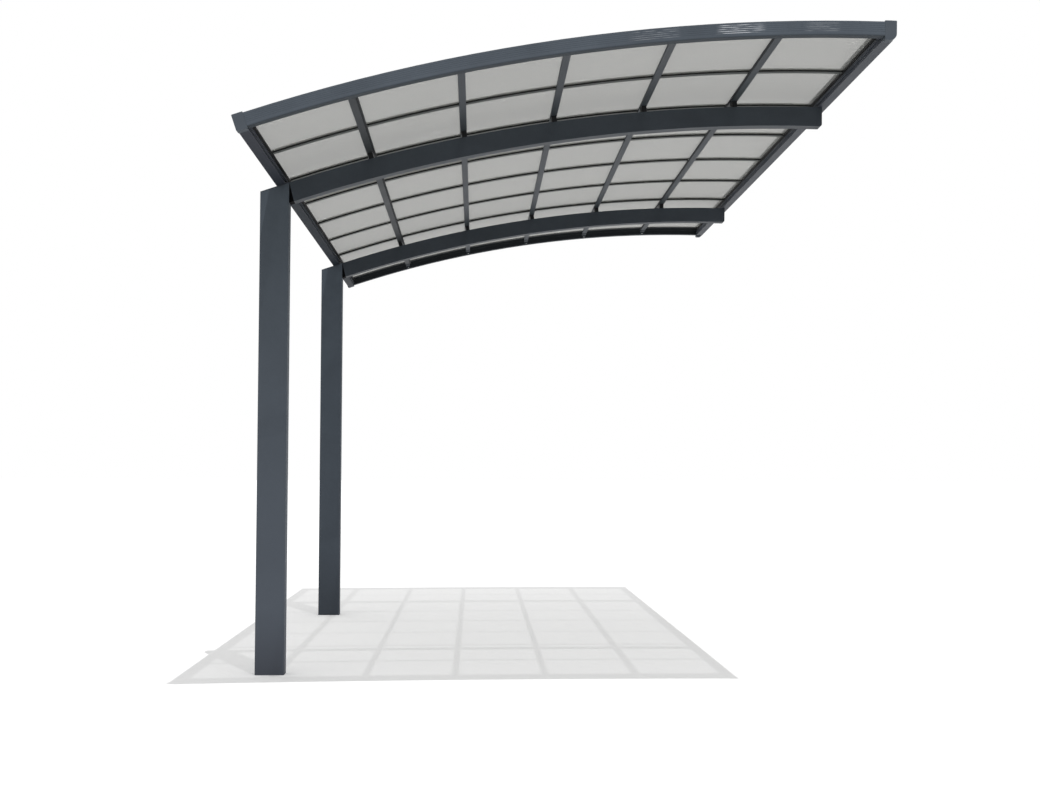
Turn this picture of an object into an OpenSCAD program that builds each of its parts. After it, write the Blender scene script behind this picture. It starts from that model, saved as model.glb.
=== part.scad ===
// Cantilever carport: two posts on one side, two bent beams, a curved roof of
// polycarbonate panels on purlins and rafters inside a frame of edge profiles.
// X runs from the posts towards the open side, Y along the roof, Z up.

/* [Roof form] */
// Radius of the beams' curved top
roof_r = 7655; // [7000:5:8200]
// Height of the roof's underside at the gutter's outer wall
eave_z = 2335; // [2000:1:2600]
// Slope angle at the gutter's outer wall
gutter_deg = 19.0; // [18:0.1:19.8]
// Set-in of the gutter's outer wall from the posts' axis
gutter_x = 10; // [-10:1:20]
// Width of the roof from the gutter's outer wall to the fascia's
roof_w = 2675; // [2600:1:2800]
// Length of the roof over its verges
roof_l = 5000; // [4500:5:5600]

/* [Posts] */
// Distance between the posts' axes
post_gap = 2700; // [2300:5:3100]
// Size of a post across the roof
post_w = 138; // [110:1:160]
// Size of a post along the roof
post_d = 80; // [70:1:110]
// Wall of a post
post_wall = 4; // [3:0.5:8]
// Radius of a post's long edges
post_edge_r = 4; // [1:0.5:8]
// Thickness of the sloped cap on a post
post_cap_t = 4; // [2:0.5:8]

/* [Beams] */
// Depth of a beam
beam_h = 94; // [80:1:120]
// Width of a beam
beam_w = 66; // [50:1:70]
// Wall of a beam
beam_wall = 3.5; // [2.5:0.5:6]
// Angle of a beam's cut end from upright
beam_cut_deg = 14; // [5:0.5:18]
// Setback of a beam's free end from the fascia's outer wall
beam_setback = 27; // [10:1:40]
// Length of a beam's end cap
beam_cap_l = 30; // [16:1:50]
// Radius of the cap's lower corner
beam_cap_r = 10; // [5:1:30]
// Length of the spigot inside a beam
spigot_l = 120; // [60:5:200]

/* [Purlins and rafters] */
// Height of the lugs that carry the purlins over the beams
lug_h = 30; // [12:1:40]
// Width of a purlin
purlin_w = 31; // [24:1:45]
// Depth of a purlin
purlin_h = 11; // [9:1:20]
// Wall of a purlin
purlin_wall = 2; // [1.5:0.5:4]
// Width of a rafter
rafter_w = 30; // [16:1:36]
// Depth of a rafter under the panels
rafter_h = 7; // [6:1:14]
// Depth by which a rafter is notched over a purlin
lap_h = 4; // [2:0.5:4.5]
// Width of the cover strip over a rafter
cover_w = 28; // [18:1:40]
// Height of the cover strip
cover_h = 6; // [4:0.5:10]

/* [Panels] */
// Thickness of a panel
panel_t = 3; // [2:0.5:5]
// Reach of a panel over the gutter's trough
panel_drip = 14; // [6:1:20]

/* [Edge profiles] */
// Rise of the edge profiles over the panels
edge_rise = 20; // [12:1:30]
// Width of the gutter's flat bottom
gutter_w = 43; // [36:1:55]
// Reach of the gutter's stepped lip past its bottom
gutter_lip = 19; // [14:1:26]
// Width of the fascia's flat bottom
fascia_w = 43; // [36:1:55]
// Reach of the fascia's stepped lip past its bottom
fascia_lip = 8; // [6:1:14]
// Wall of the edge profiles
edge_wall = 2.5; // [2:0.5:4]
// Thickness of a verge
verge_d = 40; // [34:1:60]
// Lift of a verge over the beams' top
verge_lift = 8; // [2:1:12]
// Reach of the ledge that carries the end panels
verge_ledge = 60; // [30:1:80]
// Depth of the ledge's turned-down lip
ledge_lip = 17; // [10:1:20]
// Grooves along a verge's face
grooves = 5; // [3:1:6]
// Width of a corner cap at the gutter
gutter_cap_w = 47; // [40:1:54]
// Radius of that cap's lower corner
gutter_cap_r = 8; // [4:1:16]
// Width of a corner cap at the fascia
fascia_cap_w = 48; // [40:1:55]
// Radius of that cap's lower corner
fascia_cap_r = 26; // [4:1:30]
// Drop of that cap under the fascia
fascia_cap_drop = 8; // [0:1:12]

/* [Hidden] */

// Counts that the names above fix
bays = 8;
purlins = 5;

// Facets of a full turn of the roof's curve and of the small round edges
roof_fn = 360;
edge_fn = 32;

// Clearances and overruns
seat = 0.3;
slide = 0.4;
over = 5;

// Centre of the roof's curve, its crown and the angle past it at the fascia's outer wall
centre_x = gutter_x + roof_r * sin(gutter_deg);
centre_z = eave_z - roof_r * cos(gutter_deg);
crown_z = centre_z + roof_r;
fascia_deg = asin((gutter_x + roof_w - centre_x) / roof_r);
deg_per_mm = 180 / (PI * roof_r);

// Levels over the beams' top, measured square to the roof
purlin_v = lug_h + seat;
purlin_top_v = purlin_v + purlin_h;
rafter_v = purlin_top_v - lap_h + seat;
panel_v = rafter_v + rafter_h;
panel_top_v = panel_v + panel_t;
cover_v = panel_top_v + seat;
edge_top_v = panel_top_v + edge_rise;
lip_v = panel_v - seat;

// Places along the roof
roof_mid = post_gap / 2;
roof_y0 = roof_mid - roof_l / 2;
roof_y1 = roof_mid + roof_l / 2;
field_y0 = roof_y0 + verge_d;
field_y1 = roof_y1 - verge_d;
bay = (field_y1 - field_y0) / bays;

// The edge profiles: middle angles and half widths across the slope
gutter_span = gutter_w + gutter_lip;
fascia_span = fascia_w + fascia_lip;
gutter_mid = gutter_deg - gutter_span / 2 * deg_per_mm;
fascia_mid = -fascia_deg + fascia_span / 2 * deg_per_mm;

// The field of panels between the two stepped lips
field_a0 = fascia_mid + (fascia_span / 2 + slide) * deg_per_mm;
field_a1 = gutter_mid - (gutter_span / 2 + slide) * deg_per_mm;

// Places of the purlins as shares of the field, from the gutter's lip to the fascia's
purlin_shares = [0.158, 0.336, 0.506, 0.675, 0.845];

// Steps of the lips: heights as shares of the lip's own height, reaches as shares of its reach
step_h_shares = [0.37, 0.807];
step_x_share = 0.45;

// The fascia's slot for the panels' upper ends
slot_clear = 1;
slot_depth = 12;
slot_v = panel_top_v + slot_clear;

// Grooves on the verge's face
groove_h = 2.4;
groove_d = 0.6;
groove_pitch = 8;
groove_top = 10;
groove_flank_share = 0.3;

// Rafter stems and panel edges
stem_w = 5;
panel_side = stem_w / 2 + 2;
cover_bevel = 2;

// Corner caps stand proud of the profiles
cap_proud = 5;
cap_side = 5.5;
cap_edge_r = 3;

// Beams: the lugs' length and width, the cut end at the post and the free end
lug_l = beam_w - 2 * beam_wall;
lug_w_share = 0.75;
lug_w = purlin_w * lug_w_share;
cap_a = -fascia_deg + (beam_setback + beam_cap_l) * deg_per_mm;
start_a = gutter_deg;
bracket_inset = 1.5;

// Thickness of the web that closes a post's foot
foot_web = 8;

function purlin_a(i) = field_a1 - purlin_shares[i - 1] * (field_a1 - field_a0);

function on_roof(a, v) = [centre_x - (roof_r + v) * sin(a), centre_z + (roof_r + v) * cos(a)];

// Upright face of the post that carries a beam, and the height where the beam's top meets it
post_face = post_w / 2;
face_a = asin((centre_x - post_face) / roof_r);
face_z = centre_z + roof_r * cos(face_a);

// A profile carried round the roof's curve: x is the radius over the beams' top, y is world Y
module round_roof(a0, a1) {
    translate([centre_x, 0, centre_z])
        rotate([90, 0, 0])
            mirror([0, 0, 1])
                rotate([0, 0, 90 + a0])
                    rotate_extrude(angle = a1 - a0, $fn = roof_fn)
                        translate([roof_r, 0])
                            children();
}

// A profile carried along Y: x points up the slope towards the crown, y is square to the roof
module along_roof(a, y0, y1) {
    p = on_roof(a, 0);
    translate([p[0], y1, p[1]])
        rotate([0, -a, 0])
            rotate([90, 0, 0])
                linear_extrude(y1 - y0)
                    children();
}

// A rectangle with round corners, centred
module round_rect(w, d, r) {
    square([w - 2 * r, d], center = true);
    square([w, d - 2 * r], center = true);
    for (x = [-1, 1], y = [-1, 1])
        translate([x * (w / 2 - r), y * (d / 2 - r)])
            circle(r, $fn = edge_fn);
}

// Everything under the plane on which the gutter stands, lowered by a depth
module under_gutter(depth, y) {
    reach = crown_z;
    along_roof(gutter_mid, y - post_d, y + post_d)
        translate([-reach / 2, -depth - 2 * reach])
            square([reach, 2 * reach]);
}

// Posts: hollow tubes cut on the roof's slope, closed by a web at ground level
module post(y) {
    color("#4b4f56")
        intersection() {
            translate([0, y, 0])
                difference() {
                    linear_extrude(crown_z)
                        round_rect(post_w, post_d, post_edge_r);
                    translate([0, 0, foot_web])
                        linear_extrude(crown_z)
                            round_rect(post_w - 2 * post_wall, post_d - 2 * post_wall,
                                       post_edge_r / 2);
                }
            under_gutter(post_cap_t, y);
        }
}

// Sloped cap of a post, the same outline as the post
module post_cap(y) {
    color("#3c4046")
        intersection() {
            translate([0, y, 0])
                linear_extrude(crown_z)
                    round_rect(post_w, post_d, post_edge_r);
            difference() {
                under_gutter(0, y);
                under_gutter(post_cap_t, y);
            }
        }
}

// Everything on the beam's side of its cut end
module past_cut(shift, y) {
    translate([post_face + shift, y, face_z])
        rotate([0, -beam_cut_deg, 0])
            translate([0, -post_d, -2 * crown_z])
                cube([2 * roof_w, 2 * post_d, 4 * crown_z]);
}

// Section of a beam, centred on its width, hanging from the roof's curve
module beam_section(inset) {
    translate([-beam_h + inset, -beam_w / 2 + inset])
        square([beam_h - 2 * inset, beam_w - 2 * inset]);
}

// Beams: hollow boxes bent to the roof's curve, with a lug under each purlin
module beam(y) {
    color("#33373b") {
        intersection() {
            translate([0, y, 0])
                round_roof(cap_a, start_a)
                    difference() {
                        beam_section(0);
                        beam_section(beam_wall);
                    }
            past_cut(seat, y);
        }
        for (i = [1 : purlins])
            along_roof(purlin_a(i), y - lug_l / 2, y + lug_l / 2)
                translate([-lug_w / 2, -beam_wall / 2])
                    square([lug_w, beam_wall / 2 + lug_h]);
    }
}

// A bar of the beam's section, from a post's face to the end of the spigot
module bracket_bar(inset, y) {
    a_spigot = face_a - spigot_l * deg_per_mm;
    intersection() {
        translate([0, y, 0])
            round_roof(a_spigot, start_a)
                beam_section(inset);
        translate([post_face, y - post_d, 0])
            cube([roof_w, 2 * post_d, 2 * crown_z]);
    }
}

// Bracket between a post and a beam: a wedge on the post with a spigot inside the beam
module beam_bracket(y) {
    color("#17191b") {
        bracket_bar(beam_wall + seat, y);
        difference() {
            bracket_bar(bracket_inset, y);
            past_cut(0, y);
        }
    }
}

// End cap of a beam, with a round lower corner
module beam_cap(y) {
    color("#33373b")
        along_roof(cap_a, y - beam_w / 2, y + beam_w / 2)
            difference() {
                translate([0, -beam_h])
                    square([beam_cap_l, beam_h]);
                corner_cut([beam_cap_l, -beam_h], [-1, 1], beam_cap_r);
            }
}

// The stepped inner side of an edge profile, from its bottom up to the panels
function lip_points(reach) = [
    [0, seat],
    [0, lip_v * step_h_shares[0]],
    [reach * step_x_share, lip_v * step_h_shares[0]],
    [reach * step_x_share, lip_v * step_h_shares[1]],
    [reach, lip_v * step_h_shares[1]],
    [reach, lip_v]
];

// Gutter: a trough whose inner lip steps up to carry the panels' lower ends
module eave_gutter() {
    x_out = -gutter_span / 2;
    x_lip = x_out + gutter_w;
    lip = lip_points(gutter_lip);
    trough_v = seat + edge_wall;
    color("#44484f")
        along_roof(gutter_mid, field_y0, field_y1)
            polygon(concat(
                [[x_out, edge_top_v], [x_out, seat]],
                [for (p = lip) [x_lip + p[0], p[1]]],
                [[x_lip - edge_wall, lip_v], [x_lip - edge_wall, trough_v]],
                [[x_out + edge_wall, trough_v], [x_out + edge_wall, edge_top_v]]
            ));
}

// Fascia: a box with a stepped inner lip and a slot over it for the panels' upper ends
module outer_fascia() {
    x_out = fascia_span / 2;
    x_lip = x_out - fascia_w;
    lip = lip_points(fascia_lip);
    box_w = fascia_w - 2 * edge_wall;
    color("#474b52")
        along_roof(fascia_mid, field_y0, field_y1)
            difference() {
                polygon(concat(
                    [[x_out, edge_top_v], [x_out, seat]],
                    [for (p = lip) [x_lip - p[0], p[1]]],
                    [[x_lip - fascia_lip, edge_top_v]]
                ));
                translate([x_lip + edge_wall, seat + edge_wall])
                    square([box_w, lip_v - seat - 2 * edge_wall]);
                translate([-x_out - over, lip_v])
                    square([slot_depth + over, slot_v - lip_v]);
                translate([x_lip + edge_wall, slot_v + edge_wall])
                    square([box_w, edge_top_v - slot_v - 2 * edge_wall]);
            }
}

// Corner cap of the gutter: closes the trough and the verge's end
module gutter_cap(y0) {
    color("#50545b")
        along_roof(gutter_mid, y0, y0 + verge_d - seat)
            translate([-gutter_span / 2 - cap_side, seat])
                cap_outline(gutter_cap_w, 0, 1, gutter_cap_r, 0);
}

// Corner cap of the fascia
module fascia_cap(y0) {
    color("#50545b")
        along_roof(fascia_mid, y0, y0 + verge_d - seat)
            translate([fascia_span / 2 + cap_side - fascia_cap_w, seat])
                cap_outline(fascia_cap_w, fascia_cap_w, -1, fascia_cap_r, fascia_cap_drop);
}

// Outline of a corner cap with its free corners rounded; x is the free side, inward points away from it,
// drop is how far the cap hangs under the profile
module cap_outline(w, x, inward, low_r, drop) {
    h = edge_top_v + cap_proud - seat;
    difference() {
        translate([0, -drop])
            square([w, h + drop]);
        corner_cut([x, h], [inward, -1], cap_edge_r);
        corner_cut([x, -drop], [inward, 1], low_r);
        if (drop > 0)
            corner_cut([w - x, -drop], [-inward, 1], drop);
    }
}

// What a round corner takes off a square one; inward points into the outline
module corner_cut(corner, inward, r) {
    difference() {
        translate(corner + inward * (r - over) / 2)
            square(r + over, center = true);
        translate(corner + inward * r)
            circle(r, $fn = 2 * edge_fn);
    }
}

// Section of a verge's box with its grooved face.
// x is the level over the beams' top, y runs from the face inwards
module verge_box() {
    h = edge_top_v - verge_lift;
    difference() {
        translate([verge_lift, 0])
            square([h, verge_d]);
        translate([verge_lift + edge_wall, edge_wall + groove_d])
            square([h - 2 * edge_wall, verge_d - 2 * edge_wall - groove_d]);
        for (i = [0 : grooves - 1])
            translate([edge_top_v - groove_top - i * groove_pitch, 0])
                groove();
    }
}

// Section of the ledge under the end panel, with its turned-down lip
module verge_shelf() {
    translate([lip_v - edge_wall, verge_d - edge_wall])
        square([edge_wall, verge_ledge + edge_wall]);
    translate([lip_v - ledge_lip, verge_d + verge_ledge - edge_wall])
        square([ledge_lip, edge_wall]);
}

// One groove with sloping flanks
module groove() {
    flank = groove_h * groove_flank_share;
    polygon([
        [-groove_h / 2, -over], [groove_h / 2, -over], [groove_h / 2, 0],
        [groove_h / 2 - flank, groove_d], [-groove_h / 2 + flank, groove_d], [-groove_h / 2, 0]
    ]);
}

// Angles between which a verge runs, from corner cap to corner cap
verge_a0 = -fascia_deg + (fascia_cap_w - cap_side + slide) * deg_per_mm;
verge_a1 = gutter_deg - (gutter_cap_w - cap_side + slide) * deg_per_mm;

// Verges: grooved boxes bent to the roof's curve, the ledge running between the stepped lips
module near_verge() {
    color("#555a61") {
        round_roof(verge_a0, verge_a1)
            translate([0, roof_y0])
                verge_box();
        difference() {
            round_roof(field_a0, field_a1)
                translate([0, roof_y0])
                    verge_shelf();
            purlin_slots(field_y0, field_y0 + verge_ledge + over);
        }
    }
}

module far_verge() {
    color("#555a61") {
        round_roof(verge_a0, verge_a1)
            translate([0, roof_y1])
                mirror([0, 1])
                    verge_box();
        difference() {
            round_roof(field_a0, field_a1)
                translate([0, roof_y1])
                    mirror([0, 1])
                        verge_shelf();
            purlin_slots(field_y1 - verge_ledge - over, field_y1);
        }
    }
}

// Room for the purlins in what crosses them
module purlin_slots(y0, y1) {
    for (i = [1 : purlins])
        along_roof(purlin_a(i), y0, y1)
            translate([-purlin_w / 2 - slide, purlin_v - over])
                square([purlin_w + 2 * slide, purlin_h + over + seat]);
}

// Purlins: flat tubes on the beams' lugs, counted from the gutter
module purlin(i) {
    color("#585c61")
        along_roof(purlin_a(i), field_y0 + seat, field_y1 - seat)
            difference() {
                translate([-purlin_w / 2, purlin_v])
                    square([purlin_w, purlin_h]);
                translate([-purlin_w / 2 + purlin_wall, purlin_v + purlin_wall])
                    square([purlin_w - 2 * purlin_wall, purlin_h - 2 * purlin_wall]);
            }
}

function rafter_y(i) = field_y0 + i * bay;

// Rafters: curved bars with a stem between the panels, notched over the purlins, counted from the near end
module rafter(i) {
    color("#34383a")
        difference() {
            round_roof(field_a0, field_a1)
                translate([0, rafter_y(i)]) {
                    translate([rafter_v, -rafter_w / 2])
                        square([rafter_h, rafter_w]);
                    translate([rafter_v, -stem_w / 2])
                        square([panel_top_v - rafter_v, stem_w]);
                }
            purlin_slots(rafter_y(i) - rafter_w, rafter_y(i) + rafter_w);
        }
}

// Cover strips: bevelled bars that hold the panels down on the rafters
module rafter_cover(i) {
    color("#3a3e41")
        round_roof(field_a0, field_a1)
            translate([cover_v, rafter_y(i)])
                polygon([
                    [0, -cover_w / 2], [0, cover_w / 2],
                    [cover_h - cover_bevel, cover_w / 2], [cover_h, cover_w / 2 - cover_bevel],
                    [cover_h, -cover_w / 2 + cover_bevel], [cover_h - cover_bevel, -cover_w / 2]
                ]);
}

// Panels: one curved sheet from rafter to rafter
module roof_panel(i) {
    y0 = i == 1 ? field_y0 + slide : rafter_y(i - 1) + panel_side;
    y1 = i == bays ? field_y1 - slide : rafter_y(i) - panel_side;
    a0 = field_a0 - (slot_depth - 2 * slot_clear) * deg_per_mm;
    a1 = field_a1 + (gutter_lip + panel_drip) * deg_per_mm;
    color("#b4b5b4")
        round_roof(a0, a1)
            translate([panel_v, y0])
                square([panel_t, y1 - y0]);
}

post(0);  // near_post
post(post_gap);  // far_post
post_cap(0);  // near_post_cap
post_cap(post_gap);  // far_post_cap
beam(0);  // near_beam
beam(post_gap);  // far_beam
beam_bracket(0);  // near_beam_bracket
beam_bracket(post_gap);  // far_beam_bracket
beam_cap(0);  // near_beam_cap
beam_cap(post_gap);  // far_beam_cap
eave_gutter();
outer_fascia();
gutter_cap(roof_y0);  // gutter_near_cap
gutter_cap(field_y1 + seat);  // gutter_far_cap
fascia_cap(roof_y0);  // fascia_near_cap
fascia_cap(field_y1 + seat);  // fascia_far_cap
near_verge();
far_verge();
for (i = [1 : purlins])
    purlin(i);
for (i = [1 : bays - 1])
    rafter(i);
for (i = [1 : bays - 1])
    rafter_cover(i);
for (i = [1 : bays])
    roof_panel(i);
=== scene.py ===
import math

import bpy
import numpy as np
from mathutils import Matrix


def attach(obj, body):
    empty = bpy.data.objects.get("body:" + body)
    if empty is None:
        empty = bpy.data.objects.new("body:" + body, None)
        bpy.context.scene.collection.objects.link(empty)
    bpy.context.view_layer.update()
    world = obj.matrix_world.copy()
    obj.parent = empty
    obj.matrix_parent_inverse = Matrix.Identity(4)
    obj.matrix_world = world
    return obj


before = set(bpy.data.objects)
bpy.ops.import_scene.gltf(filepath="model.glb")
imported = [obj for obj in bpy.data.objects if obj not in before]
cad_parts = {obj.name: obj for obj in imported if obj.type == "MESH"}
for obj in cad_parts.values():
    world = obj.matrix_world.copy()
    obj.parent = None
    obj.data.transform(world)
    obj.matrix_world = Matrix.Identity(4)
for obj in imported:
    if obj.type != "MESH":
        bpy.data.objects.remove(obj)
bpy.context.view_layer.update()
print("frame loaded with", len(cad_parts), "nodes")

# the roof's curve, in mm: a circle in the XZ plane, levels counted from the beams' top outwards
roof = {
    "centreX": 2502.2, "centreZ": -4902.9, "radius": 7655.0,
    "fieldStart": -0.983, "fieldEnd": 18.533,  # degrees from the crown, positive to the gutter
    "yNear": -1110.0, "yFar": 3810.0,  # inner faces of the verges
    "bay": 615.0, "rafters": 7,
    "purlinAngles": [15.449, 11.976, 8.658, 5.360, 2.042], "purlinWidth": 31.0,
    "panelTop": 47.6, "coverWidth": 28.0, "coverTop": 53.9,
    "vergeTop": 67.6, "ledge": 60.0,
}
rafterYs = roof["yNear"] + roof["bay"] * np.arange(1, roof["rafters"] + 1)

# camera: solved from the object's straight edges in a 1040 x 800 picture, angles in radians
camera = {
    "place": (0.97388, -6.79235, 0.99218),
    "yaw": 0.03119, "pitch": 0.04702, "roll": 0.00319,
    "focalPixels": 1407.76, "pictureWidth": 1040.0, "sensor": 36.0, "clipEnd": 500.0,
}


def makeCamera(c):
    # forward turned by yaw and raised by pitch, then right and up rolled about it
    sy, cy = math.sin(c["yaw"]), math.cos(c["yaw"])
    sp, cp = math.sin(c["pitch"]), math.cos(c["pitch"])
    sr, cr = math.sin(c["roll"]), math.cos(c["roll"])
    level, flat = np.array([cy, -sy, 0.0]), np.array([sy, cy, 0.0])
    forward = cp * flat + sp * np.array([0.0, 0.0, 1.0])
    raised = -sp * flat + cp * np.array([0.0, 0.0, 1.0])
    right, up = cr * level + sr * raised, cr * raised - sr * level
    data = bpy.data.cameras.new("camera")
    data.sensor_width = c["sensor"]
    data.lens = c["sensor"] * c["focalPixels"] / c["pictureWidth"]
    data.clip_end = c["clipEnd"]
    made = bpy.data.objects.new("camera", data)
    turn = np.eye(4)
    turn[:3, 0], turn[:3, 1], turn[:3, 2], turn[:3, 3] = right, up, -forward, c["place"]
    made.matrix_world = Matrix(turn.tolist())
    bpy.context.scene.collection.objects.link(made)
    bpy.context.scene.camera = made


makeCamera(camera)
bpy.context.scene.view_settings.view_transform = "Standard"
print("camera set")


def fromHex(code):
    # sRGB to linear: c / 12.92 in the toe, ((c + 0.055) / 1.055) to the power 2.4 above it
    c = np.array([int(code[i:i + 2], 16) for i in (1, 3, 5)]) / 255.0
    return (*np.where(c <= 0.04045, c / 12.92, ((c + 0.055) / 1.055) ** 2.4).tolist(), 1.0)


def perMetre(mm):
    return 1000.0 / mm  # texture scale for a feature of that size


def addNode(tree, kind, settings, links=()):
    # settings go to the node's own properties or to its inputs; links are (input, node, output)
    made = tree.nodes.new(kind)
    for key, value in settings.items():
        if isinstance(key, str) and hasattr(made, key):
            setattr(made, key, value)
        else:
            made.inputs[key].default_value = value
    for into, source, out in links:
        tree.links.new(source.outputs[out], made.inputs[into])
    return made


def newMaterial(name):
    made = bpy.data.materials.new(name)
    made.use_nodes = True
    made.node_tree.nodes.clear()
    return made, made.node_tree


noiseSpan = (0.3, 0.7)  # nearly all values of a noise texture lie in here

# powder-coated aluminium: a baked satin film, so soft highlights, a slightly uneven tone over
# the length of a bar and a fine orange peel. Painted light and shade lie over it: a painted fade
# along an axis or a level is (axis or level, shade, where it is full, where it is gone, share),
# painted shade near the beams is (shade, beams' Y, full to, gone at), painted shade on some faces
# is (shade, limits), in m along the axes and in mm for levels of the roof
coats = {
    # posts: painted light from the floor, lighter towards the bottom, and painted shade at the
    # foot
    "postPowderCoat": {
        "dark": "#4b5259", "light": "#565e66", "rough": (0.50, 0.60), "specular": 0.06,
        "paintedLightAndShade": [("Z", "#6b727d", 0.0, 2.2, 0.7), ("Z", "#4b4d55", 0.0, 0.30, 0.60)]},
    # far post: a shaded copy of the posts' coat, with less painted light from the floor and a
    # deeper painted shade at the foot
    "farPostShadedPowderCoat": {
        "dark": "#4b525a", "light": "#565f68", "rough": (0.50, 0.60), "specular": 0.06,
        "paintedLightAndShade": [("Z", "#585f69", 0.0, 2.2, 0.6), ("Z", "#3d4147", 0.0, 0.45, 0.5)]},
    # beams: a shaded copy of the frame's coat, darker for the shade under the roof, with painted
    # shade on the lugs under the purlins
    "beamShadedPowderCoat": {
        "dark": "#343a40", "light": "#3d434a", "rough": (0.52, 0.62), "specular": 0.22,
        "inside": ("#0e1011", {"level": (1.0, 31.0)})},
    # verges: painted shade on the underside and on the faces turned to the panels
    "vergePowderCoat": {
        "dark": "#535a62", "light": "#5f6770", "rough": (0.52, 0.62), "specular": 0.06,
        "paintedLightAndShade": [("level", "#41474d", 8.0, 15.0, 1.0)],
        "inside": ("#33373a", {"Y": (-1.121, 3.821), "level": (9.0, 70.0)}),
        # painted glints in some stretches of the near verge's grooves
        "paintedGlints": "#e4e7ec"},
    # gutter: painted light, lighter towards the near end, and painted shade on the lip under the
    # panels
    "gutterPowderCoat": {
        "dark": "#282d34", "light": "#30363e", "rough": (0.55, 0.65), "specular": 0.06,
        "paintedLightAndShade": [("Y", "#44474f", -1.1, 0.5, 0.9)],
        "inside": ("#0d0e0f", {"X": (0.044, 0.075), "level": (30.0, 45.0)})},
    # fascia: painted shade on the lip under the panels
    "fasciaPowderCoat": {
        "dark": "#343941", "light": "#3e434c", "rough": (0.50, 0.60), "specular": 0.20,
        "inside": ("#0d0e0f", {"X": (2.630, 2.6405), "level": (30.0, 45.0)})},
    # purlins: painted shade, darker towards the beams
    "purlinPowderCoat": {
        "dark": "#41464b", "light": "#4b5056", "rough": (0.50, 0.60), "specular": 0.10,
        "paintedShadeNearBeams": ("#3a4044", (0.0, 2.7), 0.14, 0.66)},
    # first purlin: a shaded copy of the purlins' coat, darker all along, with its own painted
    # shade near the beams
    "firstPurlinShadedPowderCoat": {
        "dark": "#2b2f34", "light": "#35393d", "rough": (0.50, 0.60), "specular": 0.14,
        "paintedShadeNearBeams": ("#323638", (0.0, 2.7), 0.10, 0.70)},
    # rafters: painted shade on the side faces just under the panels
    "rafterPowderCoat": {
        "dark": "#424644", "light": "#4d514f", "rough": (0.52, 0.62), "specular": 0.22,
        "inside": ("#101211", {"level": (38.2, 46.0)})},
}
coatGrain = {
    "unevenMm": 380, "unevenDetail": 4.0, "unevenRoughness": 0.6,
    "peelMm": 6.0, "peelDetail": 2.0,  # drawn coarse: the real peel is 1 to 2 mm
    "peelDepth": 0.00025, "peelStrength": 0.22,
    "peelShare": 0.25, "toneSpan": (0.40, 0.85),
}

# grooves of the near verge, in mm, and the stretches where painted glints lie in them: from x
# and to x in m, and how much
paintedGlints = {
    "first": 10.0, "pitch": 8.0, "height": 2.4, "count": 5, "face": (-1.1505, -1.1485),
    "stretches": [(1.58, 1.81, 0.30), (1.94, 2.16, 0.95), (2.30, 2.47, 0.35)], "fade": 0.04,
    "streakMm": (60, 3.2), "streakDetail": 2.0, "streakSpan": (0.36, 0.56),
}


def reachOf(level):
    return (roof["radius"] + level) / 1000  # distance of a level from the roof's axis, in m


def roofReach(tree, place):
    # each point's distance from the roof's axis, in m
    flat = addNode(tree, "ShaderNodeVectorMath",
                   {"operation": "MULTIPLY_ADD", 1: (1.0, 0.0, 1.0),
                    2: (-roof["centreX"] / 1000, 0.0, -roof["centreZ"] / 1000)},
                   [(0, place, "Object")])
    return addNode(tree, "ShaderNodeVectorMath", {"operation": "LENGTH"}, [(0, flat, "Vector")])


def maskWhere(tree, bands, others=()):
    # 1 where every value lies between its two limits, else 0, times any other masks
    masks = [addNode(tree, "ShaderNodeMath",
                     {"operation": "COMPARE", 1: (low + high) / 2, 2: (high - low) / 2},
                     [(0, source, out)])
             for source, out, (low, high) in bands]
    masks += others
    while len(masks) > 1:
        masks.append(addNode(tree, "ShaderNodeMath", {"operation": "MULTIPLY"},
                             [(0, masks.pop(), 0), (1, masks.pop(), 0)]))
    return masks[0]


def glintGrooves(tree, place, axes, r):
    # 1 in the grooves, along some stretches of the face and there only in streaks: the painted
    # glints
    top = reachOf(roof["vergeTop"] - r["first"] + r["pitch"] / 2)
    depth = addNode(tree, "ShaderNodeMath", {"operation": "SUBTRACT", 0: top},
                    [(1, roofReach(tree, place), "Value")])
    turns = addNode(tree, "ShaderNodeMath", {"operation": "DIVIDE", 1: r["pitch"] / 1000},
                    [(0, depth, "Value")])
    phase = addNode(tree, "ShaderNodeMath", {"operation": "FRACT"}, [(0, turns, "Value")])
    half = r["height"] / r["pitch"] / 2
    along = None
    for x0, x1, share in r["stretches"]:
        off = addNode(tree, "ShaderNodeMath", {"operation": "SUBTRACT", 1: (x0 + x1) / 2},
                      [(0, axes, "X")])
        away = addNode(tree, "ShaderNodeMath", {"operation": "ABSOLUTE"}, [(0, off, "Value")])
        here = addNode(tree, "ShaderNodeMapRange",
                       {"From Min": (x1 - x0) / 2, "From Max": (x1 - x0) / 2 - r["fade"],
                        "To Max": share, "interpolation_type": "SMOOTHSTEP"},
                       [("Value", away, "Value")])
        along = here if along is None else addNode(
            tree, "ShaderNodeMath", {"operation": "ADD"}, [(0, along, 0), (1, here, "Result")])
    stretch = addNode(tree, "ShaderNodeMapping",
                      {"Scale": (perMetre(r["streakMm"][0]), 1.0, perMetre(r["streakMm"][1]))},
                      [("Vector", place, "Object")])
    streak = addNode(tree, "ShaderNodeTexNoise", {"Scale": 1.0, "Detail": r["streakDetail"]},
                     [("Vector", stretch, "Vector")])
    streaks = addNode(tree, "ShaderNodeMapRange",
                      {"From Min": r["streakSpan"][0], "From Max": r["streakSpan"][1]},
                      [("Value", streak, "Fac")])
    bands = [(phase, "Value", (0.5 - half, 0.5 + half)), (turns, "Value", (0.0, r["count"])),
             (axes, "Y", r["face"])]
    return maskWhere(tree, bands, [along, streaks])


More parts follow.
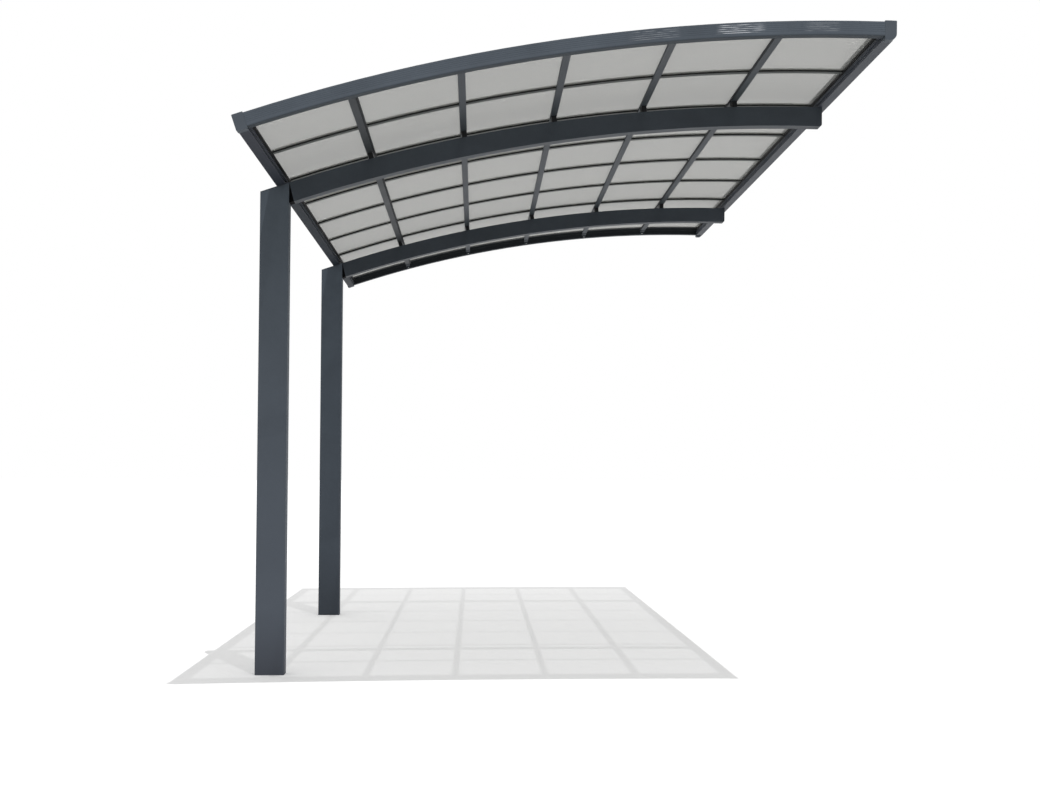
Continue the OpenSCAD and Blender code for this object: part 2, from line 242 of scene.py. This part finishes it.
def beamShadeMask(tree, axes, beamYs, full, gone):
    # the distance to the nearer beam, folded about the middle of the two, fades the painted shade
    # out
    near, far = beamYs
    fold = addNode(tree, "ShaderNodeMath", {"operation": "SUBTRACT", 1: (near + far) / 2},
                   [(0, axes, "Y")])
    half = addNode(tree, "ShaderNodeMath", {"operation": "ABSOLUTE"}, [(0, fold, "Value")])
    gap = addNode(tree, "ShaderNodeMath", {"operation": "SUBTRACT", 1: (far - near) / 2},
                  [(0, half, "Value")])
    away = addNode(tree, "ShaderNodeMath", {"operation": "ABSOLUTE"}, [(0, gap, "Value")])
    return addNode(tree, "ShaderNodeMapRange",
                   {"From Min": gone, "From Max": full, "interpolation_type": "SMOOTHSTEP"},
                   [("Value", away, "Value")])


def paintedLightLayers(tree, place, axes, coat):
    # painted light, shade and glints with their masks, laid over the plain coat in turn
    layers = []
    # painted light and painted shade that thin out along an axis or a level
    for axis, shade, full, gone, share in coat.get("paintedLightAndShade", []):  # thins out along an axis
        source, out = axes, axis
        if axis == "level":
            source, out = roofReach(tree, place), "Value"
            full, gone = reachOf(full), reachOf(gone)
        mask = addNode(tree, "ShaderNodeMapRange",
                       {"From Min": gone, "From Max": full, "To Max": share},
                       [("Value", source, out)])
        layers.append((shade, mask))
    # painted shade near the beams
    if "paintedShadeNearBeams" in coat:
        shade, beamYs, full, gone = coat["paintedShadeNearBeams"]
        layers.append((shade, beamShadeMask(tree, axes, beamYs, full, gone)))
    # painted shade on the lugs and on the faces turned to the panels
    if "inside" in coat:  # lugs, and the faces turned to the panels, are darker
        shade, limits = coat["inside"]
        bands = [(axes, axis, limits[axis]) for axis in ("X", "Y") if axis in limits]
        low, high = limits["level"]
        bands.append((roofReach(tree, place), "Value", (reachOf(low), reachOf(high))))
        layers.append((shade, maskWhere(tree, bands)))
    # painted glints in the grooves
    if "paintedGlints" in coat:
        layers.append((coat["paintedGlints"], glintGrooves(tree, place, axes, paintedGlints)))
    return layers


def powderCoat(name, coat):
    made, tree = newMaterial(name)
    place = addNode(tree, "ShaderNodeTexCoord", {})
    axes = addNode(tree, "ShaderNodeSeparateXYZ", {}, [("Vector", place, "Object")])
    uneven = addNode(tree, "ShaderNodeTexNoise",
                     {"Scale": perMetre(coatGrain["unevenMm"]),
                      "Detail": coatGrain["unevenDetail"],
                      "Roughness": coatGrain["unevenRoughness"]},
                     [("Vector", place, "Object")])
    peel = addNode(tree, "ShaderNodeTexNoise",
                   {"Scale": perMetre(coatGrain["peelMm"]), "Detail": coatGrain["peelDetail"]},
                   [("Vector", place, "Object")])
    both = addNode(tree, "ShaderNodeMath",
                   {"operation": "MULTIPLY_ADD", 1: coatGrain["peelShare"]},
                   [(0, peel, "Fac"), (2, uneven, "Fac")])
    tone = addNode(tree, "ShaderNodeMapRange",
                   {"From Min": coatGrain["toneSpan"][0], "From Max": coatGrain["toneSpan"][1]},
                   [("Value", both, "Value")])
    colour = addNode(tree, "ShaderNodeMix",
                     {"data_type": "RGBA", 6: fromHex(coat["dark"]), 7: fromHex(coat["light"])},
                     [(0, tone, "Result")])
    for shade, mask in paintedLightLayers(tree, place, axes, coat):
        colour = addNode(tree, "ShaderNodeMix", {"data_type": "RGBA", 7: fromHex(shade)},
                         [(0, mask, 0), (6, colour, 2)])
    rough = addNode(tree, "ShaderNodeMapRange",
                    {"From Min": noiseSpan[0], "From Max": noiseSpan[1],
                     "To Min": coat["rough"][0], "To Max": coat["rough"][1]},
                    [("Value", uneven, "Fac")])
    bump = addNode(tree, "ShaderNodeBump",
                   {"Strength": coatGrain["peelStrength"], "Distance": coatGrain["peelDepth"]},
                   [("Height", peel, "Fac")])
    shader = addNode(tree, "ShaderNodeBsdfPrincipled", {"Specular IOR Level": coat["specular"]},
                     [("Base Color", colour, 2), ("Roughness", rough, "Result"),
                      ("Normal", bump, "Normal")])
    addNode(tree, "ShaderNodeOutputMaterial", {}, [("Surface", shader, "BSDF")])
    return made


# moulded weatherproof plastic: spark-eroded grain, a little duller than the coat beside it.
# The grains here are drawn coarse: the real ones are well under 1 mm
mouldings = {
    "cornerMouldedPlastic": {"dark": "#4a5159", "light": "#565d65", "grainMm": 3.0,
                             "rough": 0.58, "specular": 0.22},
    "postCapMouldedPlastic": {"dark": "#33383d", "light": "#3d434a", "grainMm": 3.0,
                              "rough": 0.58, "specular": 0.22},
    "beamCapMouldedPlastic": {"dark": "#32383e", "light": "#3b4148", "grainMm": 3.0,
                              "rough": 0.60, "specular": 0.22},
    # black EPDM seal: extruded rubber, nearly matt
    "extrudedRubber": {"dark": "#1d1f21", "light": "#282b2d", "grainMm": 2.0,
                       "rough": 0.80, "specular": 0.22},
    # butyl flashing tape with a dark laminated back, dull and a little uneven
    "laminatedButylTape": {"dark": "#1d2022", "light": "#26292b", "grainMm": 5.0,
                           "rough": 0.70, "specular": 0.22},
    # steel bracket under a black textured paint, matt, made near black as painted shade in its
    # hollow
    "blackPaintedSteelInShade": {"dark": "#020203", "light": "#08090a", "grainMm": 2.5,
                          "rough": 0.85, "specular": 0.05},
}
mouldGrain = {"strength": 0.30, "depth": 0.0002, "unevenMm": 60, "unevenDetail": 3.0,
              "roughSpread": 0.06}


def mouldedPart(name, kind):
    made, tree = newMaterial(name)
    place = addNode(tree, "ShaderNodeTexCoord", {})
    uneven = addNode(tree, "ShaderNodeTexNoise",
                     {"Scale": perMetre(mouldGrain["unevenMm"]),
                      "Detail": mouldGrain["unevenDetail"]},
                     [("Vector", place, "Object")])
    grain = addNode(tree, "ShaderNodeTexVoronoi", {"Scale": perMetre(kind["grainMm"])},
                    [("Vector", place, "Object")])
    colour = addNode(tree, "ShaderNodeMix",
                     {"data_type": "RGBA", 6: fromHex(kind["dark"]), 7: fromHex(kind["light"])},
                     [(0, uneven, "Fac")])
    rough = addNode(tree, "ShaderNodeMapRange",
                    {"To Min": kind["rough"] - mouldGrain["roughSpread"],
                     "To Max": kind["rough"] + mouldGrain["roughSpread"]},
                    [("Value", grain, "Distance")])
    bump = addNode(tree, "ShaderNodeBump",
                   {"Strength": mouldGrain["strength"], "Distance": mouldGrain["depth"]},
                   [("Height", grain, "Distance")])
    shader = addNode(tree, "ShaderNodeBsdfPrincipled", {"Specular IOR Level": kind["specular"]},
                     [("Base Color", colour, 2), ("Roughness", rough, "Result"),
                      ("Normal", bump, "Normal")])
    addNode(tree, "ShaderNodeOutputMaterial", {}, [("Surface", shader, "BSDF")])
    return made


# frosted polycarbonate: an extruded sheet with one etched face, grey and even from below,
# letting light through with only a faint view
sheet = {
    "dark": "#8b8c86", "light": "#93948e", "unevenMm": 700, "unevenDetail": 2.0,
    "frostMm": 4.0, "frostDetail": 1.0,  # drawn coarse: the real frost is under 0.1 mm
    "depth": 0.0002, "strength": 0.08,
    "clear": 0.21,  # share of light straight through both faces
    "rough": (0.62, 0.72), "transmission": 0.45, "ior": 1.58, "specular": 0.04,
}


def frostedSheet(name, s):
    made, tree = newMaterial(name)
    place = addNode(tree, "ShaderNodeTexCoord", {})
    uneven = addNode(tree, "ShaderNodeTexNoise",
                     {"Scale": perMetre(s["unevenMm"]), "Detail": s["unevenDetail"]},
                     [("Vector", place, "Object")])
    frost = addNode(tree, "ShaderNodeTexNoise",
                    {"Scale": perMetre(s["frostMm"]), "Detail": s["frostDetail"]},
                    [("Vector", place, "Object")])
    colour = addNode(tree, "ShaderNodeMix",
                     {"data_type": "RGBA", 6: fromHex(s["dark"]), 7: fromHex(s["light"])},
                     [(0, uneven, "Fac")])
    rough = addNode(tree, "ShaderNodeMapRange",
                    {"From Min": noiseSpan[0], "From Max": noiseSpan[1],
                     "To Min": s["rough"][0], "To Max": s["rough"][1]},
                    [("Value", frost, "Fac")])
    bump = addNode(tree, "ShaderNodeBump", {"Strength": s["strength"], "Distance": s["depth"]},
                   [("Height", frost, "Fac")])
    shader = addNode(tree, "ShaderNodeBsdfPrincipled",
                     {"Transmission Weight": s["transmission"], "IOR": s["ior"],
                      "Specular IOR Level": s["specular"],
                      "Alpha": 1.0 - math.sqrt(s["clear"])},  # each face lets the root through
                     [("Base Color", colour, 2), ("Roughness", rough, "Result"),
                      ("Normal", bump, "Normal")])
    addNode(tree, "ShaderNodeOutputMaterial", {}, [("Surface", shader, "BSDF")])
    return made


# stainless steel: cold-headed screws, bright with small scratches, drawn coarse: the real ones
# are 0.1 mm apart
screwSteel = {"dark": "#a9abab", "light": "#c9cac8", "scratchMm": 1.5, "scratchDetail": 3.0,
              "rough": (0.28, 0.42)}


def headedSteel(name, s):
    made, tree = newMaterial(name)
    place = addNode(tree, "ShaderNodeTexCoord", {})
    scratch = addNode(tree, "ShaderNodeTexNoise",
                      {"Scale": perMetre(s["scratchMm"]), "Detail": s["scratchDetail"]},
                      [("Vector", place, "Object")])
    colour = addNode(tree, "ShaderNodeMix",
                     {"data_type": "RGBA", 6: fromHex(s["dark"]), 7: fromHex(s["light"])},
                     [(0, scratch, "Fac")])
    rough = addNode(tree, "ShaderNodeMapRange",
                    {"From Min": noiseSpan[0], "From Max": noiseSpan[1],
                     "To Min": s["rough"][0], "To Max": s["rough"][1]},
                    [("Value", scratch, "Fac")])
    shader = addNode(tree, "ShaderNodeBsdfPrincipled", {"Metallic": 1.0},
                     [("Base Color", colour, 2), ("Roughness", rough, "Result")])
    addNode(tree, "ShaderNodeOutputMaterial", {}, [("Surface", shader, "BSDF")])
    return made


finishes = {name: powderCoat(name, coat) for name, coat in coats.items()}
finishes.update({name: mouldedPart(name, kind) for name, kind in mouldings.items()})
finishes["frostedPolycarbonate"] = frostedSheet("frostedPolycarbonate", sheet)
finishes["coldHeadedSteel"] = headedSteel("coldHeadedSteel", screwSteel)

# the finish of each frame node, by how its name starts; longer starts come first
nodeFinish = {
    "near_post_cap": "postCapMouldedPlastic", "far_post_cap": "postCapMouldedPlastic",
    "near_post": "postPowderCoat", "far_post": "farPostShadedPowderCoat",
    "near_beam_bracket": "blackPaintedSteelInShade", "far_beam_bracket": "blackPaintedSteelInShade",
    "near_beam_cap": "beamCapMouldedPlastic", "far_beam_cap": "beamCapMouldedPlastic",
    "near_beam": "beamShadedPowderCoat", "far_beam": "beamShadedPowderCoat",
    "eave_gutter": "gutterPowderCoat", "outer_fascia": "fasciaPowderCoat",
    "near_verge": "vergePowderCoat", "far_verge": "vergePowderCoat",
    "gutter_near_cap": "cornerMouldedPlastic", "gutter_far_cap": "cornerMouldedPlastic",
    "fascia_near_cap": "cornerMouldedPlastic", "fascia_far_cap": "cornerMouldedPlastic",
    "purlin_1": "firstPurlinShadedPowderCoat", "purlin": "purlinPowderCoat",
    "rafter": "rafterPowderCoat", "roof_panel": "frostedPolycarbonate",
}
for nodeName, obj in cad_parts.items():
    start = next(s for s in nodeFinish if nodeName.startswith(s))
    for slot in obj.material_slots:
        slot.material = finishes[nodeFinish[start]]
print("finishes on", len(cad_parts), "nodes")


def roundAngle(level, angle, y):
    # a point on the roof's curve: the circle of radius plus level, turned by angle from the crown
    r, a = roof["radius"] + level, np.radians(angle)
    spots = np.broadcast_arrays(roof["centreX"] - r * np.sin(a), y,
                                roof["centreZ"] + r * np.cos(a))
    return np.stack(spots, -1) / 1000.0


def upSlope(angle, u, level, y):
    # a point beside the curve's spot at an angle: u up the slope on the tangent, level on the
    # normal
    a = np.radians(angle)
    x = roof["centreX"] - (roof["radius"] + level) * np.sin(a) + u * np.cos(a)
    z = roof["centreZ"] + (roof["radius"] + level) * np.cos(a) + u * np.sin(a)
    return np.stack(np.broadcast_arrays(x, y, z), -1) / 1000.0


def roundedBar(u0, u1, v0, v1, radius, steps=4):
    # a rectangle's outline with a quarter circle at each corner, counter-clockwise
    turn = np.linspace(0.0, math.pi / 2, steps)[None, :] + np.arange(4)[:, None] * math.pi / 2
    cu = np.array([u1 - radius, u0 + radius, u0 + radius, u1 - radius])[:, None]
    cv = np.array([v1 - radius, v1 - radius, v0 + radius, v0 + radius])[:, None]
    return np.stack([cu + radius * np.cos(turn), cv + radius * np.sin(turn)], -1).reshape(-1, 2)


def ringsToFaces(grid):
    # rings of points joined by quads, both ends closed by one face each, turned outwards
    m, n = grid.shape[:2]
    index = np.arange(m * n).reshape(m, n)
    a, b = index[:-1], index[1:]
    quads = np.stack([a, b, np.roll(b, -1, 1), np.roll(a, -1, 1)], -1).reshape(-1, 4)
    spots = grid.reshape(-1, 3)
    p, q, r, s = (spots[quads[:, k]] - spots.mean(0) for k in range(4))
    volume = (np.cross(p, q) * r).sum() + (np.cross(p, r) * s).sum()  # six times the sides' share
    faces = quads.tolist() + [index[0].tolist(), index[-1][::-1].tolist()]
    return spots, faces if volume > 0 else [f[::-1] for f in faces]


sharpEdge = math.radians(40)  # edges bent more than this stay sharp


def makePiece(name, parts, finish):
    # several closed shells in one mesh, placed where they sit
    spots, faces, count = [], [], 0
    for points, polygons in parts:
        spots.append(points)
        faces += [[i + count for i in f] for f in polygons]
        count += len(points)
    mesh = bpy.data.meshes.new(name)
    mesh.from_pydata(np.concatenate(spots).tolist(), [], faces)
    mesh.polygons.foreach_set("use_smooth", np.ones(len(mesh.polygons), bool))
    mesh.set_sharp_from_angle(angle=sharpEdge)
    mesh.materials.append(finishes[finish])
    made = bpy.data.objects.new(name, mesh)
    bpy.context.scene.collection.objects.link(made)
    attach(made, "root")


# dark rubber strips along the sides of two purlins, pressed up under the rafters, that darken
# those sides seen from below; a width below zero lies on the side towards the gutter
purlinSeal = {"widths": {1: 11.0, 5: -8.0}, "low": 31.5, "high": 37.4, "radius": 0.8, "gap": 0.2,
              "endGap": 0.5}


def barAlongRoof(angle, profile, y0, y1):
    # the outline carried straight along Y at one angle of the slope
    return upSlope(angle, profile[None, :, 0], profile[None, :, 1], np.array([[y0], [y1]]))


sealEnds = (roof["yNear"] + roof["ledge"] + purlinSeal["endGap"],
            roof["yFar"] - roof["ledge"] - purlinSeal["endGap"])
for number, width in purlinSeal["widths"].items():
    inner = (roof["purlinWidth"] / 2 + purlinSeal["gap"]) * np.sign(width)
    u0, u1 = sorted((inner, inner + width))
    outline = roundedBar(u0, u1, purlinSeal["low"], purlinSeal["high"], purlinSeal["radius"])
    grid = barAlongRoof(roof["purlinAngles"][number - 1], outline, *sealEnds)
    makePiece(f"purlin_seal_{number}", [ringsToFaces(grid)], "extrudedRubber")


def barRoundRoof(profile, stations):
    # an outline of Y and level carried round the roof's curve, over the field of panels
    angles = np.linspace(roof["fieldStart"], roof["fieldEnd"], stations)[:, None]
    return ringsToFaces(roundAngle(profile[None, :, 1], angles, profile[None, :, 0]))


# rubber lips along both sides of each cover strip, lying on the panels
coverLip = {"reach": 2.5, "height": 2.6, "radius": 1.1, "stations": 60, "under": 0.8}
for k, y in enumerate(rafterYs):
    parts = []
    for side in (-1, 1):
        edge = roof["coverWidth"] / 2
        u0, u1 = sorted((side * (edge - coverLip["under"]), side * (edge + coverLip["reach"])))
        outline = roundedBar(u0, u1, roof["panelTop"], roof["panelTop"] + coverLip["height"],
                             coverLip["radius"])
        parts.append(barRoundRoof(outline + np.array([y, 0.0]), coverLip["stations"]))
    makePiece(f"cover_lips_{k + 1}", parts, "extrudedRubber")

# hexagon screws with a flange on rubber washers, along the middle of each cover strip: rows from
# the foot up, of radius in mm (half the width over flats on a hexagon), height and hexagon or not
coverScrew = {
    "count": 6, "inset": 0.7, "columns": 24,
    "head": [(6.5, 0.0, False), (6.5, 0.72, False), (5.72, 1.2, False), (4.0, 1.3, True),
             (4.0, 4.0, True), (3.44, 4.6, False), (2.2, 4.35, False)],
    "washer": [(6.956, 0.0, False), (7.4, 0.64, False), (7.178, 1.44, False),
               (6.5, 1.6, False)],
}


def turnedShell(rows):
    # rows of points round an axis: each row a circle, or a hexagon, where half the width over
    # flats is divided by the cosine of the turn from the middle of the nearest flat
    radii, heights, hexagon = (np.array(column)[:, None] for column in zip(*rows))
    t = np.arange(coverScrew["columns"]) * 2 * math.pi / coverScrew["columns"]
    six = 1 / np.cos((t % (math.pi / 3)) - math.pi / 6)
    r = radii * np.where(hexagon, six[None, :], 1.0)
    return np.stack([r * np.cos(t), r * np.sin(t), np.broadcast_to(heights, r.shape)], -1)


def standOnRoof(shell, angle, y, level):
    # local x up the slope, y along the roof, z on the normal
    return ringsToFaces(upSlope(angle, shell[..., 0], level + shell[..., 2], y + shell[..., 1]))


headRows, washerRows = turnedShell(coverScrew["head"]), turnedShell(coverScrew["washer"])
headLevel = roof["coverTop"] + washerRows[-1, 0, 2]
screwAngles = np.linspace(roof["fieldStart"] + coverScrew["inset"],
                          roof["fieldEnd"] - coverScrew["inset"], coverScrew["count"])
for k, y in enumerate(rafterYs):
    heads = [standOnRoof(headRows, a, y, headLevel) for a in screwAngles]
    washers = [standOnRoof(washerRows, a, y, roof["coverTop"]) for a in screwAngles]
    makePiece(f"cover_screws_{k + 1}", heads, "coldHeadedSteel")
    makePiece(f"cover_washers_{k + 1}", washers, "extrudedRubber")

# each end of the roof: its name, the verge's inner face and the way into the roof
roofEnds = (("near", roof["yNear"], 1), ("far", roof["yFar"], -1))

# dark tape under the outer panels, along the ledges of the verges, darkening the panels' ends
# seen from below
endTape = {"width": 55.0, "gap": 0.5, "low": 43.1, "high": 44.5, "radius": 0.5, "stations": 60}
for end, wall, step in roofEnds:
    start = wall + step * roof["ledge"]
    y0, y1 = sorted((start + step * endTape["gap"], start + step * endTape["width"]))
    outline = roundedBar(y0, y1, endTape["low"], endTape["high"], endTape["radius"])
    makePiece(f"end_tape_{end}", [barRoundRoof(outline, endTape["stations"])],
              "laminatedButylTape")

# joggled straps that pass under the ledge and tie each purlin to the verge, in mm from the verge
strap = {
    "width": 30.0, "thick": 1.8, "radius": 0.5, "high": 29.2, "low": 26.2, "tail": 75.0,
    "joggle": (67.0, 60.5), "bend": 4.0, "flange": 9.0, "clear": 1.1,
    "tips": [0.84, 0.94, 0.99], "tipLength": 3.0, "joggleSteps": 9, "bendSteps": 7,
    "screw": 15.0, "screwShare": 0.6,
}


def strapPath(s):
    # straight under the purlin, an S curve down, straight under the ledge, then a quarter turn
    # down the verge
    ease = np.linspace(0.0, 1.0, s["joggleSteps"])
    turn = np.linspace(math.pi / 2, math.pi, s["bendSteps"])
    foot = s["clear"] + s["bend"]
    ends = len(s["tips"])
    tip = np.linspace(0.0, s["tipLength"], ends + 1)
    reach = np.concatenate([s["tail"] - tip, s["joggle"][0] - np.ptp(s["joggle"]) * ease,
                            foot + s["bend"] * np.cos(turn), np.full(ends + 1, s["clear"])])
    drop = s["high"] + (s["low"] - s["high"]) * (3 - 2 * ease) * ease ** 2
    level = np.concatenate([np.full(ends + 1, s["high"]), drop,
                            s["low"] - s["bend"] * (1 - np.sin(turn)), s["flange"] + tip[::-1]])
    along = np.gradient(np.stack([reach, level], -1), axis=0)
    along /= np.linalg.norm(along, axis=1, keepdims=True)
    share = np.ones(len(reach))  # the ends are rounded by narrowing the last stations
    share[:ends], share[-ends:] = s["tips"], s["tips"][::-1]
    return reach, level, along, share


def strapShell(s, angle, wall, step):
    # a flat rounded bar carried along the strap's path
    reach, level, along, share = strapPath(s)
    flat = roundedBar(-s["width"] / 2, s["width"] / 2, -s["thick"] / 2, s["thick"] / 2,
                      s["radius"])
    u = flat[None, :, 0] * share[:, None]
    y = reach[:, None] - along[:, 1:] * flat[None, :, 1]
    v = level[:, None] + along[:, :1] * flat[None, :, 1]
    return upSlope(angle, u, v, wall + step * y)


smallHead = headRows * strap["screwShare"]
strapFace = strap["clear"] + strap["thick"] / 2
for end, wall, step in roofEnds:
    straps, heads = [], []
    for angle in roof["purlinAngles"]:
        straps.append(ringsToFaces(strapShell(strap, angle, wall, step)))
        heads.append(ringsToFaces(upSlope(angle, smallHead[..., 0],
                                          strap["screw"] + smallHead[..., 1],
                                          wall + step * (strapFace + smallHead[..., 2]))))
    makePiece(f"purlin_straps_{end}", straps, "purlinPowderCoat")
    makePiece(f"strap_screws_{end}", heads, "coldHeadedSteel")
print("seals, lips, tapes, straps and screws made")


def seenWhite(tree):
    # 1 for rays from the camera and for rays that gloss or the sheets send on
    path = addNode(tree, "ShaderNodeLightPath", {})
    shiny = addNode(tree, "ShaderNodeMath", {"operation": "MAXIMUM"},
                    [(0, path, "Is Glossy Ray"), (1, path, "Is Transmission Ray")])
    return addNode(tree, "ShaderNodeMath", {"operation": "MAXIMUM"},
                   [(0, path, "Is Camera Ray"), (1, shiny, "Value")])


# pale studio floor: white to the camera, with the object's faint shadow
floorLook = {"size": 90.0, "below": 0.0006, "bounce": "#b4b4b4", "seen": "#f3f3f3", "glow": 0.14}


def makeFloor(f):
    # a level square just under the feet
    x, y = np.meshgrid([-f["size"], f["size"]], [-f["size"], f["size"]])
    spots = np.stack([x, y, np.full_like(x, -f["below"])], -1).reshape(-1, 3)
    mesh = bpy.data.meshes.new("floor")
    mesh.from_pydata(spots.tolist(), [], [[0, 1, 3, 2]])
    made, tree = newMaterial("mattFloorPaper")
    bounce = addNode(tree, "ShaderNodeBsdfDiffuse", {"Color": fromHex(f["bounce"])})
    shade = addNode(tree, "ShaderNodeBsdfDiffuse", {"Color": fromHex(f["seen"])})
    glow = addNode(tree, "ShaderNodeEmission", {"Strength": f["glow"]})
    paper = addNode(tree, "ShaderNodeAddShader", {}, [(0, shade, "BSDF"), (1, glow, "Emission")])
    both = addNode(tree, "ShaderNodeMixShader", {},
                   [(0, seenWhite(tree), "Value"), (1, bounce, "BSDF"), (2, paper, "Shader")])
    addNode(tree, "ShaderNodeOutputMaterial", {}, [("Surface", both, "Shader")])
    mesh.materials.append(made)
    floor = bpy.data.objects.new("floor", mesh)
    bpy.context.scene.collection.objects.link(floor)


makeFloor(floorLook)

# soft studio light: an even dome and one overhead lamp, slightly from the front and right
light = {"dome": 0.75, "sun": 1.6, "sunAngle": 0.25, "towards": (-0.172, 0.358, -1.0),
         "distance": 12.0}


def makeLight(s):
    world = bpy.data.worlds.new("studio")
    world.use_nodes = True
    tree = world.node_tree
    tree.nodes.clear()
    dome = addNode(tree, "ShaderNodeBackground", {"Color": (1, 1, 1, 1), "Strength": s["dome"]})
    white = addNode(tree, "ShaderNodeBackground", {"Color": (1, 1, 1, 1), "Strength": 1.0})
    both = addNode(tree, "ShaderNodeMixShader", {},
                   [(0, seenWhite(tree), "Value"), (1, dome, "Background"),
                    (2, white, "Background")])
    addNode(tree, "ShaderNodeOutputWorld", {}, [("Surface", both, "Shader")])
    bpy.context.scene.world = world
    lamp = bpy.data.lights.new("overhead", "SUN")
    lamp.energy, lamp.angle = s["sun"], math.radians(s["sunAngle"])
    made = bpy.data.objects.new("overhead", lamp)
    away = -np.array(s["towards"]) / np.linalg.norm(s["towards"])
    side = np.cross([0.0, 1.0, 0.0], away)
    side /= np.linalg.norm(side)
    turn = np.eye(4)
    turn[:3, 0], turn[:3, 1], turn[:3, 2] = side, np.cross(away, side), away
    turn[:3, 3] = away * s["distance"]
    made.matrix_world = Matrix(turn.tolist())
    bpy.context.scene.collection.objects.link(made)


makeLight(light)
print("floor and light set")
